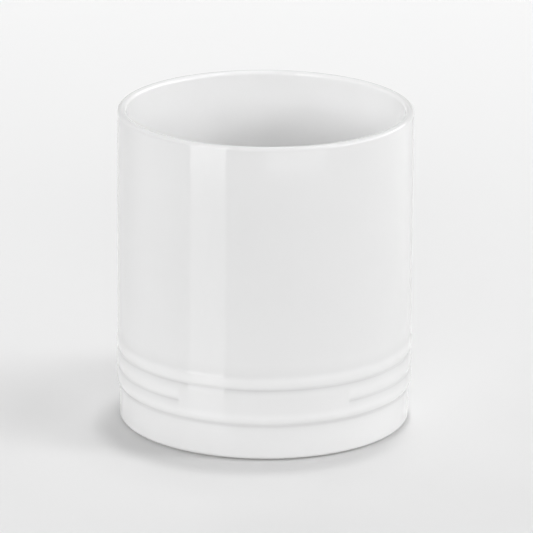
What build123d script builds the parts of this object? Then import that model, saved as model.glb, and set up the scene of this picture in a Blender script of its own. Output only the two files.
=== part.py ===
"""Utensil crock in glazed stoneware, in millimetres.

Origin at the centre of the plane that the bare foot ring stands on, +Z up. The front faces -Y: there the middle one
of the three creases round the lower wall stops, and leaves a plain stretch. A section is drawn as radius against
height and turned about the Z axis.
"""

from build123d import *
import math
import os

# Whole crock, measured over the glaze
height = 164.0
wall_diameter = 151.0
wall_thickness = 4.4
floor_thickness = 7.4
inner_corner_radius = 9.0
glaze_thickness = 0.4

# Foot: a bare clay ring that stands below the glazed edge, round a shallow glazed recess
foot_ring_inset = 2.9
foot_ring_width = 4.6
foot_ring_height = 0.5
foot_ring_rounding = 0.25
recess_depth = 2.2
recess_corner_radius = 1.2
base_edge_radius = 2.1

# Base tier and the three rolled beads above it, with a narrow crease under each
base_tier_height = 18.7
base_tier_inset = 1.1
bead_pitch = 9.55
bead_proud = 0.45
crease_inset = 0.3
crease_rounding = 0.7
crest_height_share = 0.43
shoulder_height = 4.6
plain_front_angle = 69.2

# Radii and heights that follow from the sizes above
wall_radius = wall_diameter / 2
inner_radius = wall_radius - wall_thickness
lip_radius = wall_thickness / 2
lip_crest_radius = wall_radius - lip_radius
lip_spring_height = height - lip_radius
tier_radius = wall_radius - base_tier_inset
ring_outer_radius = tier_radius - foot_ring_inset
ring_inner_radius = ring_outer_radius - foot_ring_width
bead_radius = wall_radius + bead_proud
crease_radius = wall_radius - crease_inset
crest_rise = bead_pitch * crest_height_share
lower_crease_height = base_tier_height
middle_crease_height = lower_crease_height + bead_pitch
upper_crease_height = middle_crease_height + bead_pitch
mid_floor_height = (recess_depth + floor_thickness) / 2

# Front stretch without the middle crease, and the rest of the turn, as start angle, swept angle and crease or not
front_angle = -90
plain_sector = (front_angle - plain_front_angle / 2, plain_front_angle, False)
ringed_sector = (front_angle + plain_front_angle / 2, 360 - plain_front_angle, True)


def upright_plane(angle):
    """Plane through the Z axis whose x runs out along the angle in degrees, and whose y is up."""
    c = math.cos(math.radians(angle))
    s = math.sin(math.radians(angle))
    return Plane(origin=(0, 0, 0), x_dir=(c, s, 0), z_dir=(s, -c, 0))


def draw_bead(crease_below, crease_above):
    """Rolled bead between two creases: two arcs that leave its crest upright."""
    crest = (bead_radius, crease_below[1] + crest_rise)
    TangentArc(crest, crease_below, tangent=(0, -1))
    TangentArc(crest, crease_above, tangent=(0, 1))


def draw_top_bead(crease_below):
    """Highest bead, whose upper side swells out of the wall in an S of two equal arcs."""
    crest = (bead_radius, crease_below[1] + crest_rise)
    wall_end = (wall_radius, crest[1] + shoulder_height)
    middle = ((bead_radius + wall_radius) / 2, crest[1] + shoulder_height / 2)
    TangentArc(crest, crease_below, tangent=(0, -1))
    TangentArc(crest, middle, tangent=(0, 1))
    TangentArc(wall_end, middle, tangent=(0, -1))
    return wall_end


def fired_section(middle_crease):
    """Half section of the whole fired crock, over the glaze."""
    lower = (tier_radius, lower_crease_height)
    middle = (crease_radius, middle_crease_height)
    upper = (crease_radius, upper_crease_height)
    low_crest = (bead_radius, lower[1] + crest_rise)
    band_top = (bead_radius, middle[1] + crest_rise)
    with BuildSketch() as section:
        with BuildLine():
            # Foot and base tier
            Polyline(
                (0, recess_depth),
                (ring_inner_radius, recess_depth),
                (ring_inner_radius, 0),
                (ring_outer_radius, 0),
                (ring_outer_radius, foot_ring_height),
                (tier_radius - base_edge_radius, foot_ring_height),
            )
            edge_top = (tier_radius, foot_ring_height + base_edge_radius)
            TangentArc(edge_top, (tier_radius - base_edge_radius, foot_ring_height), tangent=(0, -1))
            Line(edge_top, lower)
            # Beads, or one plain band where the middle crease is left out
            if middle_crease:
                draw_bead(lower, middle)
                draw_bead(middle, upper)
            else:
                TangentArc(low_crest, lower, tangent=(0, -1))
                Line(low_crest, band_top)
                TangentArc(band_top, upper, tangent=(0, 1))
            wall_foot = draw_top_bead(upper)
            # Wall, rounded lip and inside
            Line(wall_foot, (wall_radius, lip_spring_height))
            ThreePointArc(
                (wall_radius, lip_spring_height), (lip_crest_radius, height), (inner_radius, lip_spring_height)
            )
            corner_top = (inner_radius, floor_thickness + inner_corner_radius)
            corner_foot = (inner_radius - inner_corner_radius, floor_thickness)
            Line((inner_radius, lip_spring_height), corner_top)
            TangentArc(corner_top, corner_foot, tangent=(0, -1))
            Line(corner_foot, (0, floor_thickness))
            Line((0, floor_thickness), (0, recess_depth))
        make_face()
        corners = section.vertices()
        creases = [upper, middle] if middle_crease else [upper]
        fillet([corners.sort_by_distance(point)[0] for point in creases], crease_rounding)
        fillet(section.vertices().sort_by_distance(lower)[0], crease_rounding)
        fillet(section.vertices().sort_by_distance((ring_inner_radius, recess_depth))[0], recess_corner_radius)
        ring_edges = [(ring_inner_radius, 0), (ring_outer_radius, 0)]
        fillet([section.vertices().sort_by_distance(point)[0] for point in ring_edges], foot_ring_rounding)
    return section.sketch


def foot_ring_clay():
    """Part of the section in the foot ring, which stays bare."""
    with BuildSketch() as section:
        with Locations((ring_inner_radius, 0)):
            Rectangle(foot_ring_width, mid_floor_height, align=(Align.MIN, Align.MIN))
    return section.sketch


def clay_section(middle_crease):
    """Half section of the clay: the fired section less the glaze, with the foot ring whole."""
    with BuildSketch() as section:
        add(fired_section(middle_crease))
        offset(amount=-glaze_thickness)
        with BuildSketch(mode=Mode.PRIVATE) as ring:
            add(fired_section(middle_crease))
            add(foot_ring_clay(), mode=Mode.INTERSECT)
        add(ring.sketch)
        # The offset also draws back from the axis, where the clay runs through
        with Locations((0, recess_depth + glaze_thickness)):
            core_height = floor_thickness - recess_depth - 2 * glaze_thickness
            Rectangle(ring_inner_radius, core_height, align=(Align.MIN, Align.MIN))
    return section.sketch


def glaze_section(middle_crease):
    """All the glaze in the half section, outside, inside and underneath."""
    with BuildSketch() as section:
        add(fired_section(middle_crease))
        add(clay_section(middle_crease), mode=Mode.SUBTRACT)
    return section.sketch


# Clay body: wall, floor and bare foot ring, jiggered and fired in one piece
with BuildPart() as stoneware_body:
    for start, sweep, middle_crease in (plain_sector, ringed_sector):
        with BuildSketch(upright_plane(start)):
            add(clay_section(middle_crease))
        revolve(axis=Axis.Z, revolution_arc=sweep)

# Outside glaze, from the crest of the lip down to the bare foot ring
with BuildPart() as outer_glaze:
    for start, sweep, middle_crease in (plain_sector, ringed_sector):
        with BuildSketch(upright_plane(start)):
            add(glaze_section(middle_crease))
            with Locations((0, mid_floor_height)):
                Rectangle(lip_crest_radius, height, align=(Align.MIN, Align.MIN), mode=Mode.SUBTRACT)
            Rectangle(ring_inner_radius, mid_floor_height, align=(Align.MIN, Align.MIN), mode=Mode.SUBTRACT)
        revolve(axis=Axis.Z, revolution_arc=sweep)

# Inside glaze, from the crest of the lip down the wall and across the floor
with BuildPart() as liner_glaze:
    with BuildSketch(upright_plane(front_angle)):
        add(glaze_section(True))
        with Locations((0, mid_floor_height)):
            Rectangle(lip_crest_radius, height, align=(Align.MIN, Align.MIN), mode=Mode.INTERSECT)
    revolve(axis=Axis.Z)

# Glaze in the recess underneath, inside the foot ring
with BuildPart() as underside_glaze:
    with BuildSketch(upright_plane(front_angle)):
        add(glaze_section(True))
        Rectangle(ring_inner_radius, mid_floor_height, align=(Align.MIN, Align.MIN), mode=Mode.INTERSECT)
    revolve(axis=Axis.Z)

stoneware_body.part.label = "stoneware_body"
outer_glaze.part.label = "outer_glaze"
liner_glaze.part.label = "liner_glaze"
underside_glaze.part.label = "underside_glaze"

os.makedirs("parts", exist_ok=True)
export_step(stoneware_body.part, "parts/stoneware_body.step")
export_step(outer_glaze.part, "parts/outer_glaze.step")
export_step(liner_glaze.part, "parts/liner_glaze.step")
export_step(underside_glaze.part, "parts/underside_glaze.step")
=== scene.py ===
import math

import bpy
import numpy as np
from mathutils import Matrix, Vector


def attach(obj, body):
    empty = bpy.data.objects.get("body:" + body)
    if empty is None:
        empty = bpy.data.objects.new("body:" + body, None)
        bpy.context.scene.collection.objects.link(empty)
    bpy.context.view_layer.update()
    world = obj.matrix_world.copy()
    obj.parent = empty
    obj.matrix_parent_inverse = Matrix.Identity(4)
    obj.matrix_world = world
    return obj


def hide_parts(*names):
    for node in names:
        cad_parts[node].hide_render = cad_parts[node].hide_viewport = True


# White glazed stoneware crock for kitchen utensils, on a pale floor in soft studio light.
# Metres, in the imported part's frame: origin on the floor under the crock's axis, +Z up, front towards -Y.
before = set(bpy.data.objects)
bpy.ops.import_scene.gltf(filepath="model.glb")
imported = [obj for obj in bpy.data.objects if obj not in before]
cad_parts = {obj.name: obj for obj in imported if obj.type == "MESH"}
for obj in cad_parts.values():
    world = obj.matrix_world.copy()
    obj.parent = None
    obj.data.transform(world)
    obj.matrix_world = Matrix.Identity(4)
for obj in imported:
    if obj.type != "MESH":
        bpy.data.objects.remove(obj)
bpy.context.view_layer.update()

mm = 0.001

# Sizes of the crock over its glaze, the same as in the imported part
height = 164.0 * mm
wall_radius = 75.5 * mm
wall_thickness = 4.4 * mm
floor_thickness = 7.4 * mm
inner_corner_radius = 9.0 * mm
glaze_thickness = 0.4 * mm

# Foot ring and the glazed recess inside it
foot_ring_inset = 2.9 * mm
foot_ring_width = 4.6 * mm
foot_ring_height = 0.5 * mm
foot_ring_rounding = 0.25 * mm
recess_depth = 2.2 * mm
recess_corner_radius = 1.2 * mm
base_edge_radius = 2.1 * mm

# Base tier, beads and creases
base_tier_height = 18.7 * mm
base_tier_inset = 1.1 * mm
bead_pitch = 9.55 * mm
bead_proud = 0.45 * mm
crease_inset = 0.3 * mm
crease_rounding = 0.7 * mm
crest_height_share = 0.43
shoulder_height = 4.6 * mm
plain_front_angle = math.radians(69.2)
crease_end_length = 1.2 * mm

# Radii and heights that follow
inner_radius = wall_radius - wall_thickness
lip_radius = wall_thickness / 2
lip_crest_radius = wall_radius - lip_radius
lip_spring_height = height - lip_radius
tier_radius = wall_radius - base_tier_inset
ring_outer_radius = tier_radius - foot_ring_inset
ring_inner_radius = ring_outer_radius - foot_ring_width
bead_radius = wall_radius + bead_proud
crease_depth = bead_proud + crease_inset
tier_drop = bead_proud + base_tier_inset
crest_rise = bead_pitch * crest_height_share
crest_fall = bead_pitch - crest_rise
lower_crease = base_tier_height
middle_crease = lower_crease + bead_pitch
upper_crease = middle_crease + bead_pitch
lower_crest = lower_crease + crest_rise
middle_crest = middle_crease + crest_rise
upper_crest = upper_crease + crest_rise
wall_foot = upper_crest + shoulder_height
edge_top = foot_ring_height + base_edge_radius

# Painted shade and painted light in the glaze's colour: darker in each crease, where the top bead meets the
# wall and along the lip, lighter over the beads and inside. 0 is its lightest colour, 1 its darkest
plain_share = 0.16
shade_drop = 0.25 * mm
shade_curve = 0.7
brow_fade = 0.25 * mm
bead_fade = 0.95 * mm
tier_fade = 0.65 * mm
light_start = 0.7 * mm
light_fade = 3.5 * mm
shoulder_shade = 0.18
shoulder_shade_rise = 3.0 * mm
shoulder_shade_width = 1.8 * mm
# Painted light: the inside's glaze is a lighter copy of the outside's
liner_painted_light = -0.14
# Painted shade along the crest of the lip
lip_shade_strength = 0.4
lip_shade_depth = 0.8 * mm

# Steps of the meshes
lip_steps = 16
corner_steps = 12
bead_steps = 11
tier_steps = 9
wall_steps = 8
floor_steps = 12
front_steps = 60
back_steps = 224
end_steps = 12
plain_steps = 256
sharp_angle = math.radians(40)


def smoothstep(x):
    """0 up to 0, 1 from 1, and 3 x squared less 2 x cubed between."""
    x = np.clip(x, 0, 1)
    return x * x * (3 - 2 * x)


def gathered(start, stop, steps):
    """Values from start to stop that gather at both ends, by the cosine of an evenly spaced angle."""
    return start + (stop - start) * (1 - np.cos(np.linspace(0, math.pi, steps + 1))) / 2


def arc(centre, radius, start, stop, steps=corner_steps):
    """Points of an arc: the centre plus the radius times the cosine and sine of degrees that gather at its
    ends."""
    angle = np.radians(gathered(start, stop, steps))
    return np.column_stack((centre[0] + radius * np.cos(angle), centre[1] + radius * np.sin(angle)))


def arc_size(rise, drop):
    """Radius of an arc that leaves a crest upright and has drawn in by drop at a height rise from it: rise
    squared plus drop squared, over twice the drop."""
    return (rise**2 + drop**2) / (2 * drop)


def drawn_in(offset, rise, drop):
    """How far such an arc has drawn in at an offset from its crest: its radius less the root of radius
    squared less offset squared."""
    size = arc_size(rise, drop)
    return size - np.sqrt(size**2 - np.clip(np.abs(offset), 0, rise) ** 2)


def end_slope(rise, drop):
    """Radius that such an arc gains for each metre of height where it ends."""
    return rise / (arc_size(rise, drop) - drop)


def rounding(z, crease, slope_below, slope_above):
    """Radius that a crease's rounding adds at heights z. The corner's two straight sides, half the change of
    slope times the distance from the crease, give way to a parabola between the points where an arc would
    touch them."""
    turn = math.atan(slope_above) - math.atan(slope_below)
    reach = crease_rounding * math.tan(turn / 2)
    away = np.minimum(np.abs(z - crease), reach)
    return (slope_above - slope_below) / 2 * ((away**2 + reach**2) / (2 * reach) - away)


def wall_profile(z, has_middle_crease):
    """Outer radius at heights z over the tier, the beads and the wall. Each side of a bead is an arc that
    leaves its crest upright, the top bead's upper side is an S of two equal arcs, and each crease is
    rounded."""
    half_shoulder = shoulder_height / 2
    spans = [z < lower_crease, z < lower_crest, z < middle_crease, z < middle_crest, z < upper_crease]
    spans += [z < upper_crest, z < upper_crest + half_shoulder, z < wall_foot]
    drops = [
        tier_drop,
        drawn_in(z - lower_crest, crest_rise, tier_drop),
        drawn_in(z - lower_crest, crest_fall, crease_depth),
        drawn_in(z - middle_crest, crest_rise, crease_depth),
        drawn_in(z - middle_crest, crest_fall, crease_depth),
        drawn_in(z - upper_crest, crest_rise, crease_depth),
        drawn_in(z - upper_crest, half_shoulder, bead_proud / 2),
        bead_proud - drawn_in(z - wall_foot, half_shoulder, bead_proud / 2),
    ]
    radius = bead_radius - np.select(spans, drops, bead_proud)
    slope_above = end_slope(crest_rise, crease_depth)
    slope_below = -end_slope(crest_fall, crease_depth)
    radius += rounding(z, lower_crease, 0, end_slope(crest_rise, tier_drop))
    radius += rounding(z, upper_crease, slope_below, slope_above)
    if has_middle_crease:
        return radius + rounding(z, middle_crease, slope_below, slope_above)
    return np.where((z > lower_crest) & (z < middle_crest), bead_radius, radius)


def lip_shade(z):
    """Painted shade along the lip at heights z: half a bell curve down from the crest, added to the painted
    shading."""
    return lip_shade_strength * np.exp(-(((height - z) / lip_shade_depth) ** 2))


def painted_light_and_shade(z, has_middle_crease):
    """How much darker, above 0, or lighter, below 0, the glaze's colour is painted at heights z than on the
    plain wall. Painted shade darkens each crease and fades from there as e to the minus (distance over fade)
    to the power of shade_curve, slowly down and fast up. A bell curve adds a little painted shade where the
    top bead meets the wall. Over a bead's crest painted light makes it lighter, between two smooth steps. The
    lip's painted shade is added."""
    painted_shade = 0
    painted_light = 0
    fades_down = ((lower_crease, tier_fade), (middle_crease, bead_fade), (upper_crease, bead_fade))
    # Painted shade that fades away from each crease, and painted light over the bead above it
    for crease, fade_down in fades_down:
        if crease == middle_crease and not has_middle_crease:
            continue
        above = z - crease + shade_drop
        share_faded = np.where(above > 0, above / brow_fade, -above / fade_down)
        painted_shade = np.maximum(painted_shade, np.exp(-share_faded**shade_curve))
        over_brow = smoothstep((z - crease - light_start) / light_start)
        painted_light = np.maximum(painted_light, over_brow * (1 - smoothstep((z - crease - crest_rise) / light_fade)))
    # Painted shade where the top bead meets the wall
    shoulder = np.exp(-(((z - upper_crest - shoulder_shade_rise) / shoulder_shade_width) ** 2))
    return (1 - plain_share) * painted_shade + shoulder_shade * shoulder + lip_shade(z) - plain_share * painted_light


def outside_section(has_middle_crease):
    """Radius and height over the glaze from the crest of the lip down to the foot ring's outer face."""
    lip = arc((lip_crest_radius, lip_spring_height), lip_radius, 90, 0, lip_steps)
    knots = [wall_foot, upper_crest, upper_crease, middle_crest, middle_crease, lower_crest, lower_crease]
    heights = [gathered(lip_spring_height, wall_foot, wall_steps)[1:]]
    heights += [gathered(top, foot, bead_steps)[1:] for top, foot in zip(knots, knots[1:])]
    heights += [gathered(lower_crease, edge_top, tier_steps)[1:-1]]
    z = np.concatenate(heights)
    wall = np.column_stack((wall_profile(z, has_middle_crease), z))
    edge = arc((tier_radius - base_edge_radius, edge_top), base_edge_radius, 0, -90)
    return np.concatenate((lip, wall, edge, [(ring_outer_radius, foot_ring_height)]))


def inside_section():
    """Radius and height over the glaze from the middle of the floor out and up to the crest of the lip."""
    corner_centre = (inner_radius - inner_corner_radius, floor_thickness + inner_corner_radius)
    floor_radius = np.linspace(0, corner_centre[0], floor_steps + 1)[:-1]
    floor = np.column_stack((floor_radius, np.full(floor_steps, floor_thickness)))
    corner = arc(corner_centre, inner_corner_radius, -90, 0)
    wall_heights = gathered(corner_centre[1], lip_spring_height, wall_steps)[1:-1]
    wall = np.column_stack((np.full(wall_steps - 1, inner_radius), wall_heights))
    lip = arc((lip_crest_radius, lip_spring_height), lip_radius, 180, 90, lip_steps)
    return np.concatenate((floor, corner, wall, lip))


def recess_section():
    """Radius and height over the glaze from the foot ring's inner face in to the middle, under the floor."""
    corner_centre = (ring_inner_radius - recess_corner_radius, recess_depth - recess_corner_radius)
    ceiling_radius = np.linspace(corner_centre[0], 0, floor_steps + 1)[1:]
    ceiling = np.column_stack((ceiling_radius, np.full(floor_steps, recess_depth)))
    return np.concatenate((arc(corner_centre, recess_corner_radius, 0, 90), ceiling))


def ring_section():
    """Radius and height of the bare foot ring, from its outer face under it to its inner face."""
    inner_centre = (ring_inner_radius + foot_ring_rounding, foot_ring_rounding)
    outer_centre = (ring_outer_radius - foot_ring_rounding, foot_ring_rounding)
    outer_edge = arc(outer_centre, foot_ring_rounding, 0, -90)
    inner_edge = arc(inner_centre, foot_ring_rounding, -90, -180)
    return np.concatenate((outer_edge, inner_edge, recess_section()[:1]))


def clay_under(section):
    """Where a coat meets the clay: the section moved in by the glaze's thickness, square to itself. Its ends
    stay at the axis or at the crest of the lip, and in the recess it stops at the foot ring."""
    along = np.gradient(section, axis=0)
    along /= np.linalg.norm(along, axis=1, keepdims=True)
    clay = section + glaze_thickness * np.column_stack((along[:, 1], -along[:, 0]))
    clay[[0, -1], 0] = section[[0, -1], 0]
    if section[0, 0] == ring_inner_radius:
        clay[:, 0] = np.minimum(clay[:, 0], ring_inner_radius)
        clay = clay[1:]
    return clay


def turned_solid(name, sections, azimuth, has_poles):
    """A closed solid of revolution. At each azimuth a section's point stands at x = radius times sine, y =
    minus radius times cosine, z = height. The grid closes round the axis. Across, it closes from a section's
    last point to its first, or has a pole on the axis at both ends."""
    spin = azimuth[:, None]
    radius = sections[..., 0]
    grid = np.stack((radius * np.sin(spin), -radius * np.cos(spin), sections[..., 1]), axis=-1)
    poles = grid[0, [0, -1]]
    if has_poles:
        grid = grid[:, 1:-1]
    turns, rows = grid.shape[:2]
    start = np.arange(turns)[:, None] * rows
    beside = np.roll(start, -1, axis=0)
    row = np.arange(rows - 1 if has_poles else rows)
    below = (row + 1) % rows
    quads = np.stack((start + row, start + below, beside + below, beside + row), axis=-1)
    faces = quads.reshape(-1, 4).tolist()
    vertices = grid.reshape(-1, 3)
    if has_poles:
        first_pole = np.full_like(start, len(vertices))
        vertices = np.concatenate((vertices, poles))
        faces += np.hstack((first_pole, start, beside)).tolist()
        faces += np.hstack((start + rows - 1, first_pole + 1, beside + rows - 1)).tolist()
    mesh = bpy.data.meshes.new(name)
    mesh.from_pydata(vertices.tolist(), [], faces)
    mesh.shade_smooth()
    mesh.set_sharp_from_angle(angle=sharp_angle)
    piece = bpy.data.objects.new(name, mesh)
    bpy.context.scene.collection.objects.link(piece)
    return piece


# Azimuths from the front towards +X, closer together where the middle crease ends
crease_end = plain_front_angle / 2
end_span = crease_end_length / wall_radius
full_turn = 2 * math.pi
near_end = np.linspace(crease_end - end_span, crease_end + end_span, end_steps + 1)[:-1]
front_azimuth = np.linspace(-crease_end + end_span, crease_end - end_span, front_steps + 1)[:-1]
back_azimuth = np.linspace(crease_end + end_span, full_turn - crease_end - end_span, back_steps + 1)[:-1]
far_end = np.linspace(-crease_end - end_span, -crease_end + end_span, end_steps + 1)[:-1]
azimuth = np.concatenate((front_azimuth, near_end, back_azimuth, far_end + full_turn))
plain_azimuth = np.linspace(0, full_turn, plain_steps + 1)[:-1]

# How much of the middle crease there is at each azimuth: none over the front, all of it elsewhere
from_front = np.minimum(np.abs(azimuth), full_turn - np.abs(azimuth))
crease_share = smoothstep((from_front - crease_end + end_span) / (2 * end_span))


def at_each_azimuth(plain, creased):
    """The section at each azimuth: the plain one plus the crease's share of the way to the creased one."""
    return plain + crease_share[:, None, None] * (creased - plain)


def all_round(section, turns=len(azimuth)):
    """The same section at every azimuth."""
    return np.broadcast_to(section, (turns, *section.shape))


def vertex_heights(piece):
    """Height of each vertex."""
    places = np.empty(3 * len(piece.data.vertices), np.float32)
    piece.data.vertices.foreach_get("co", places)
    return places[2::3].astype(float)


def keep_painted_light_and_shade(piece, light_and_shade):
    """Keeps the painted light and shade at each vertex, for the material."""
    attribute = piece.data.attributes.new("painted_light_and_shade", "FLOAT", "POINT")
    attribute.data.foreach_set("value", light_and_shade.ravel())


outside = at_each_azimuth(outside_section(False), outside_section(True))
outside_clay = at_each_azimuth(clay_under(outside_section(False)), clay_under(outside_section(True)))
inside = inside_section()
inside_clay = clay_under(inside)
recess = recess_section()
recess_clay = clay_under(recess)

# Coat of glaze outside, from the crest of the lip to the foot ring
outer_sections = np.concatenate((outside, outside_clay[:, ::-1]), axis=1)
outer_glaze = turned_solid("crock_outer_glaze", outer_sections, azimuth, False)
# Painted shade in the creases and painted light over the beads, at each vertex
plain_light_and_shade = painted_light_and_shade(outer_sections[0, :, 1], False)
creased_light_and_shade = painted_light_and_shade(outer_sections[0, :, 1], True)
keep_painted_light_and_shade(outer_glaze, plain_light_and_shade + crease_share[:, None] * (creased_light_and_shade - plain_light_and_shade))

# Coat of glaze inside
liner_sections = all_round(np.concatenate((inside, inside_clay[::-1])), plain_steps)
liner_glaze = turned_solid("crock_liner_glaze", liner_sections, plain_azimuth, True)
# Painted light on the liner, lighter than the outside, plus the lip's painted shade
keep_painted_light_and_shade(liner_glaze, liner_painted_light + lip_shade(vertex_heights(liner_glaze)))

# Coat of glaze in the recess underneath
underside_sections = all_round(np.concatenate((recess_clay[::-1], recess)), plain_steps)
underside_glaze = turned_solid("crock_underside_glaze", underside_sections, plain_azimuth, True)

# Clay under the three coats, with its bare foot ring
body_parts = (all_round(inside_clay), outside_clay[:, 1:], all_round(ring_section()), all_round(recess_clay))
stoneware_body = turned_solid("crock_stoneware_body", np.concatenate(body_parts, axis=1), azimuth, True)


def linear(hex_colour):
    """Linear RGBA of an sRGB hex colour such as E6E6E6."""
    srgb = [int(hex_colour[i:i + 2], 16) / 255 for i in (0, 2, 4)]
    rgb = [c / 12.92 if c <= 0.04045 else ((c + 0.055) / 1.055) ** 2.4 for c in srgb]
    return (*rgb, 1.0)


def add_node(tree, kind, inputs=None, **settings):
    """Adds a node with its settings. Each input takes a value, or a link from another node's output."""
    node = tree.nodes.new(kind)
    for name, value in settings.items():
        setattr(node, name, value)
    for name, value in (inputs or {}).items():
        if isinstance(value, bpy.types.NodeSocket):
            tree.links.new(value, node.inputs[name])
        else:
            node.inputs[name].default_value = value
    return node


def empty_material(name):
    """A new material and its emptied node tree."""
    material = bpy.data.materials.new(name)
    material.use_nodes = True
    material.node_tree.nodes.clear()
    return material, material.node_tree


# A Mix node's sockets for two colours, by number, because several of its sockets share a name
blend_share, blend_first, blend_last, blended = 0, 6, 7, 2


def white_glaze():
    """Opaque white stoneware glaze, dipped and fired glossy. It gives a glassy skin with sharp reflections
    over an even white, with painted shade that greys it in each crease and painted light that whitens it over
    each bead and inside, and a faint ripple from the fire."""
    cloud_size = 30 * mm
    cloud_share = 0.08
    ripple_size = 14 * mm
    ripple_depth = 0.004 * mm
    material, tree = empty_material("glossy_white_stoneware_glaze")
    place = add_node(tree, "ShaderNodeTexCoord").outputs["Object"]
    cloud = add_node(tree, "ShaderNodeTexNoise", {"Vector": place, "Scale": 1 / cloud_size, "Detail": 2.0})
    # Painted light and shade kept on each vertex: a higher value gives a darker colour
    painted_shading = add_node(tree, "ShaderNodeAttribute", attribute_name="painted_light_and_shade").outputs["Fac"]
    cloudy = add_node(
        tree,
        "ShaderNodeMath",
        {0: cloud.outputs["Fac"], 1: cloud_share, 2: plain_share - cloud_share / 2},
        operation="MULTIPLY_ADD",
    ).outputs["Value"]
    share = add_node(
        tree, "ShaderNodeMath", {0: cloudy, 1: painted_shading}, operation="ADD", use_clamp=True
    ).outputs["Value"]
    colour = add_node(
        tree,
        "ShaderNodeMix",
        {blend_share: share, blend_first: linear("F6F6F6"), blend_last: linear("D4D4D4")},
        data_type="RGBA",
    ).outputs[blended]
    ripple = add_node(tree, "ShaderNodeTexNoise", {"Vector": place, "Scale": 1 / ripple_size, "Detail": 1.0})
    bump = add_node(
        tree, "ShaderNodeBump", {"Height": ripple.outputs["Fac"], "Strength": 1.0, "Distance": ripple_depth}
    ).outputs["Normal"]
    shader = add_node(
        tree,
        "ShaderNodeBsdfPrincipled",
        {"Base Color": colour, "Roughness": 0.04, "IOR": 1.5, "Normal": bump},
    )
    add_node(tree, "ShaderNodeOutputMaterial", {"Surface": shader.outputs["BSDF"]})
    return material


def bare_stoneware():
    """Unglazed off-white stoneware, wiped clean for firing. It gives a matt, finely grained ring, warmer than
    the glaze."""
    grain_size = 0.6 * mm
    grain_depth = 0.03 * mm
    material, tree = empty_material("bare_fired_stoneware")
    place = add_node(tree, "ShaderNodeTexCoord").outputs["Object"]
    grain = add_node(
        tree, "ShaderNodeTexNoise", {"Vector": place, "Scale": 1 / grain_size, "Detail": 3.0}
    ).outputs["Fac"]
    colour = add_node(
        tree,
        "ShaderNodeMix",
        {blend_share: grain, blend_first: linear("D2CABB"), blend_last: linear("EDE7DA")},
        data_type="RGBA",
    ).outputs[blended]
    bump = add_node(
        tree, "ShaderNodeBump", {"Height": grain, "Strength": 1.0, "Distance": grain_depth}
    ).outputs["Normal"]
    shader = add_node(
        tree, "ShaderNodeBsdfPrincipled", {"Base Color": colour, "Roughness": 0.85, "Normal": bump}
    )
    add_node(tree, "ShaderNodeOutputMaterial", {"Surface": shader.outputs["BSDF"]})
    return material


def pale_paper():
    """Matt white background paper. The camera and the glaze's reflections see a seamless pale floor that
    grows lighter to the back, painted light in its colour. The light that it throws up on the crock is that
    of a short sheet on a darker table."""
    near_y, far_y = -0.17, 0.87
    paper_radius, table_radius = 0.09, 0.22
    material, tree = empty_material("pale_background_paper")
    place = add_node(tree, "ShaderNodeTexCoord").outputs["Object"]
    along = add_node(tree, "ShaderNodeSeparateXYZ", {"Vector": place}).outputs["Y"]
    to_back = add_node(
        tree, "ShaderNodeMapRange", {"Value": along, "From Min": near_y, "From Max": far_y}
    ).outputs["Result"]
    # Painted light: the seen colour grows lighter towards the back
    seen_colour = add_node(
        tree,
        "ShaderNodeMix",
        {blend_share: to_back, blend_first: linear("E2E2E2"), blend_last: linear("F1F1F1")},
        data_type="RGBA",
    ).outputs[blended]
    away = add_node(tree, "ShaderNodeVectorMath", {0: place}, operation="LENGTH").outputs["Value"]
    off_paper = add_node(
        tree,
        "ShaderNodeMapRange",
        {"Value": away, "From Min": paper_radius, "From Max": table_radius},
        interpolation_type="SMOOTHSTEP",
    ).outputs["Result"]
    bounced_colour = add_node(
        tree,
        "ShaderNodeMix",
        {blend_share: off_paper, blend_first: linear("DEDEDE"), blend_last: linear("B0B0B0")},
        data_type="RGBA",
    ).outputs[blended]
    seen = add_node(tree, "ShaderNodeBsdfDiffuse", {"Color": seen_colour}).outputs["BSDF"]
    bounced = add_node(tree, "ShaderNodeBsdfDiffuse", {"Color": bounced_colour}).outputs["BSDF"]
    path = add_node(tree, "ShaderNodeLightPath")
    shown = add_node(
        tree,
        "ShaderNodeMath",
        {0: path.outputs["Is Camera Ray"], 1: path.outputs["Is Glossy Ray"]},
        operation="MAXIMUM",
    ).outputs["Value"]
    shader = add_node(tree, "ShaderNodeMixShader", {0: shown, 1: bounced, 2: seen})
    add_node(tree, "ShaderNodeOutputMaterial", {"Surface": shader.outputs["Shader"]})
    return material


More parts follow.
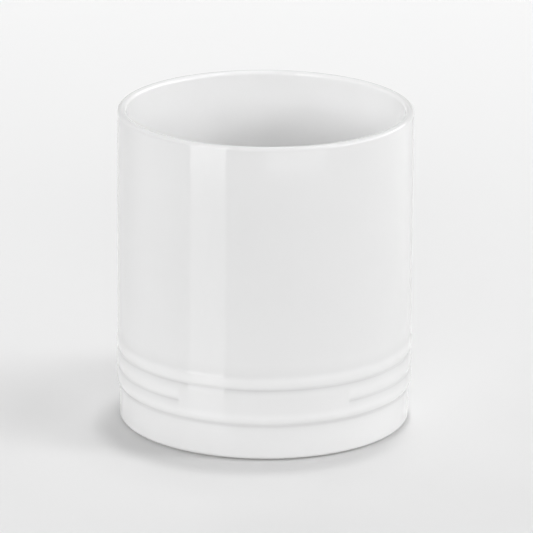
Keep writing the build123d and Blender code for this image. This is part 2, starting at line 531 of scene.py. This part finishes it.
def soft_glow(name, near, far, near_strength, far_strength, curve):
    """Light added to what lies behind, by distance from the crock's foot, and none towards the back. It gives
    the glaze the sheen of softboxes and of the table that they light, with no light on the crock itself."""
    dark_turn = math.radians(-165)
    dark_way = (math.sin(dark_turn), -math.cos(dark_turn), 0)
    fade_start, fade_stop = 0.3, 0.8
    material, tree = empty_material(name)
    place = add_node(tree, "ShaderNodeTexCoord").outputs["Object"]
    away = add_node(tree, "ShaderNodeVectorMath", {0: place}, operation="LENGTH").outputs["Value"]
    share = add_node(
        tree,
        "ShaderNodeMapRange",
        {"Value": away, "From Min": near, "From Max": far},
        interpolation_type=curve,
    ).outputs["Result"]
    full_strength = add_node(
        tree,
        "ShaderNodeMath",
        {0: share, 1: far_strength - near_strength, 2: near_strength},
        operation="MULTIPLY_ADD",
    ).outputs["Value"]
    way = add_node(tree, "ShaderNodeVectorMath", {0: place}, operation="NORMALIZE").outputs["Vector"]
    facing = add_node(
        tree, "ShaderNodeVectorMath", {0: way, 1: dark_way}, operation="DOT_PRODUCT"
    ).outputs["Value"]
    dark = add_node(
        tree,
        "ShaderNodeMapRange",
        {"Value": facing, "From Min": fade_start, "From Max": fade_stop},
        interpolation_type="SMOOTHSTEP",
    ).outputs["Result"]
    lit = add_node(tree, "ShaderNodeMath", {0: 1.0, 1: dark}, operation="SUBTRACT").outputs["Value"]
    strength = add_node(
        tree, "ShaderNodeMath", {0: full_strength, 1: lit}, operation="MULTIPLY"
    ).outputs["Value"]
    glow = add_node(tree, "ShaderNodeEmission", {"Strength": strength}).outputs["Emission"]
    clear = add_node(tree, "ShaderNodeBsdfTransparent").outputs["BSDF"]
    shader = add_node(tree, "ShaderNodeAddShader", {0: glow, 1: clear})
    add_node(tree, "ShaderNodeOutputMaterial", {"Surface": shader.outputs["Shader"]})
    material.cycles.emission_sampling = "NONE"
    return material


glaze_material = white_glaze()
pieces = [
    (outer_glaze, "outer_glaze", "white_glaze", glaze_material),
    (liner_glaze, "liner_glaze", "white_glaze", glaze_material),
    (underside_glaze, "underside_glaze", "white_glaze", glaze_material),
    (stoneware_body, "stoneware_body", "bare_stoneware", bare_stoneware()),
]
for piece, node, slot, material in pieces:
    piece.data.materials.append(material)
    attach(piece, "root")
    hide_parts(node)


def direction(turn, rise):
    """Unit vector at degrees turned from the front (-Y) towards +X, and raised above the floor."""
    a, e = math.radians(turn), math.radians(rise)
    return Vector((math.sin(a) * math.cos(e), -math.cos(a) * math.cos(e), math.sin(e)))


def level_square(reach, lift):
    """Corners of a level square round the crock's axis, counter-clockwise from above."""
    return [(-reach, -reach, lift), (reach, -reach, lift), (reach, reach, lift), (-reach, reach, lift)]


def stage_sheet(name, corners, faces, material):
    """A sheet of the studio, from its corners."""
    mesh = bpy.data.meshes.new(name)
    mesh.from_pydata(corners, [], faces)
    mesh.materials.append(material)
    sheet = bpy.data.objects.new(name, mesh)
    bpy.context.scene.collection.objects.link(sheet)
    return sheet


def mirrored_sheet(name, corners, faces, **glow):
    """A glowing sheet that only the glaze's reflections see."""
    sheet = stage_sheet(name, corners, faces, soft_glow(name, **glow))
    sheet.visible_camera = False
    sheet.visible_diffuse = False
    sheet.visible_shadow = False


# Floor
floor_reach = 6.0
stage_sheet("floor", level_square(floor_reach, 0), [(0, 1, 2, 3)], pale_paper())

# Each glowing sheet lies a little above the one below it
sheen_lift = 0.5 * mm
far_lift = 0.8 * mm
softbox_lift = 1.0 * mm

# Table's sheen, which grows with distance
sheen_reach = 1.5
mirrored_sheet(
    "table_sheen",
    level_square(sheen_reach, sheen_lift),
    [(0, 1, 2, 3)],
    near=0.12,
    far=0.6,
    near_strength=0.0,
    far_strength=0.75,
    curve="LINEAR",
)

# Lit ground beyond the table's edge, in front and to the right
far_start, far_reach = 0.56, 1.2
far_turns = (0, 15, 30, 45)
corners = []
for turn in far_turns:
    corners += [reach * direction(turn, 0) + Vector((0, 0, far_lift)) for reach in (far_start, far_reach)]
faces = [(i, i + 1, i + 3, i + 2) for i in range(0, 2 * len(far_turns) - 2, 2)]
mirrored_sheet(
    "far_glow",
    corners,
    faces,
    near=0.57,
    far=0.61,
    near_strength=0.0,
    far_strength=0.9,
    curve="SMOOTHSTEP",
)

# Softbox at the left, faint on the table and stronger from the table's edge up
glow_start = 0.04
glow_reach = 0.64
softbox_height = 1.1
band_turns = (-15.2, -29.9)


def glow_edge(wall_turn):
    """Near end, far end and top of one side of the glow. A ray from the camera that meets the wall at
    wall_turn is mirrored to twice that turn, so the side runs that way from the wall."""
    wall = wall_radius * direction(wall_turn, 0) + Vector((0, 0, softbox_lift))
    along = direction(2 * wall_turn, 0)
    far = wall + glow_reach * along
    return [wall + glow_start * along, far, far + Vector((0, 0, softbox_height))]


mirrored_sheet(
    "softbox_glow",
    glow_edge(band_turns[0]) + glow_edge(band_turns[1]),
    [(0, 1, 4, 3), (1, 2, 5, 4)],
    near=0.5,
    far=0.68,
    near_strength=0.8,
    far_strength=2.5,
    curve="SMOOTHSTEP",
)

# Lamps stand far enough off to light the floor evenly
lamp_distance = 4.0


def soft_lamp(name, turn, rise, width, depth, radiance, mirrored=False):
    """A rectangular lamp that faces the crock from a direction, width across and depth along its rise. Its
    power is pi times its radiance and area. The glaze mirrors it only where mirrored is set."""
    lamp = bpy.data.lights.new(name, "AREA")
    lamp.shape = "RECTANGLE"
    lamp.size = width
    lamp.size_y = depth
    lamp.energy = math.pi * radiance * width * depth
    holder = bpy.data.objects.new(name, lamp)
    toward = direction(turn, rise)
    across = direction(turn + 90, 0)
    along = toward.cross(across)
    place = Vector((0, 0, height / 2)) + lamp_distance * toward
    turned = Matrix((across, along, toward)).transposed().to_4x4()
    holder.matrix_world = Matrix.Translation(place) @ turned
    holder.visible_glossy = mirrored
    holder.visible_camera = False
    bpy.context.scene.collection.objects.link(holder)


# Turn and rise in degrees, width and depth in metres, then the radiance
soft_lamp("overhead_softbox", 158, 84, 0.3, 0.3, 122.0)
soft_lamp("back_softbox", 165, 75, 0.8, 0.8, 5.0, mirrored=True)
soft_lamp("key_softbox", 77, 66, 0.5, 1.3, 11.0, mirrored=True)
soft_lamp("right_bank", 90, 24, 8.0, 0.7, 7.3, mirrored=True)
soft_lamp("left_bank", -80, 18, 8.0, 1.2, 3.8)
soft_lamp("front_bank", 0, 18, 3.0, 1.4, 4.8)
soft_lamp("back_left_fill", -135, 38, 3.0, 2.2, 1.0)
soft_lamp("back_fill", 180, 38, 3.0, 2.2, 1.7)

# World: a white backdrop for the camera, a half lit room for the glaze to mirror, and no light of its own
world = bpy.data.worlds.new("studio")
bpy.context.scene.world = world
world.use_nodes = True
world_tree = world.node_tree
world_tree.nodes.clear()
path = add_node(world_tree, "ShaderNodeLightPath")
room = add_node(world_tree, "ShaderNodeBackground", {"Color": linear("FFFFFF"), "Strength": 0.5})
backdrop = add_node(world_tree, "ShaderNodeBackground", {"Color": linear("F5F5F5"), "Strength": 1.0})
unseen = add_node(
    world_tree, "ShaderNodeMixShader", {0: path.outputs["Is Glossy Ray"], 2: room.outputs["Background"]}
)
shown = add_node(
    world_tree,
    "ShaderNodeMixShader",
    {0: path.outputs["Is Camera Ray"], 1: unseen.outputs["Shader"], 2: backdrop.outputs["Background"]},
)
add_node(world_tree, "ShaderNodeOutputWorld", {"Surface": shown.outputs["Shader"]})


def photograph_camera(rise, distance, lens, turn_right, turn_up, roll):
    """A camera that looks at the crock's middle from the front, degrees above level, then turns right and up
    and rolls by its own small angles, with a 36 mm sensor."""
    aim = Vector((0, 0, height / 2))
    place = aim + distance * direction(0, rise)
    ahead = (aim - place).normalized()
    level = Vector((1, 0, 0))
    ahead = ahead + math.tan(math.radians(turn_right)) * level
    ahead = ahead + math.tan(math.radians(turn_up)) * level.cross(ahead)
    ahead.normalize()
    right = ahead.cross(Vector((0, 0, 1))).normalized()
    up = right.cross(ahead)
    c, s = math.cos(math.radians(roll)), math.sin(math.radians(roll))
    axes = Matrix((c * right + s * up, c * up - s * right, -ahead)).transposed()
    lens_data = bpy.data.cameras.new("photograph")
    lens_data.sensor_width = 36
    lens_data.lens = lens
    camera = bpy.data.objects.new("photograph", lens_data)
    camera.matrix_world = Matrix.Translation(place) @ axes.to_4x4()
    bpy.context.scene.collection.objects.link(camera)
    return camera


bpy.context.scene.camera = photograph_camera(
    rise=17.137, distance=2.7, lens=355.96, turn_right=0.0191, turn_up=-0.0503, roll=0.3742
)
bpy.context.scene.view_settings.view_transform = "Standard"
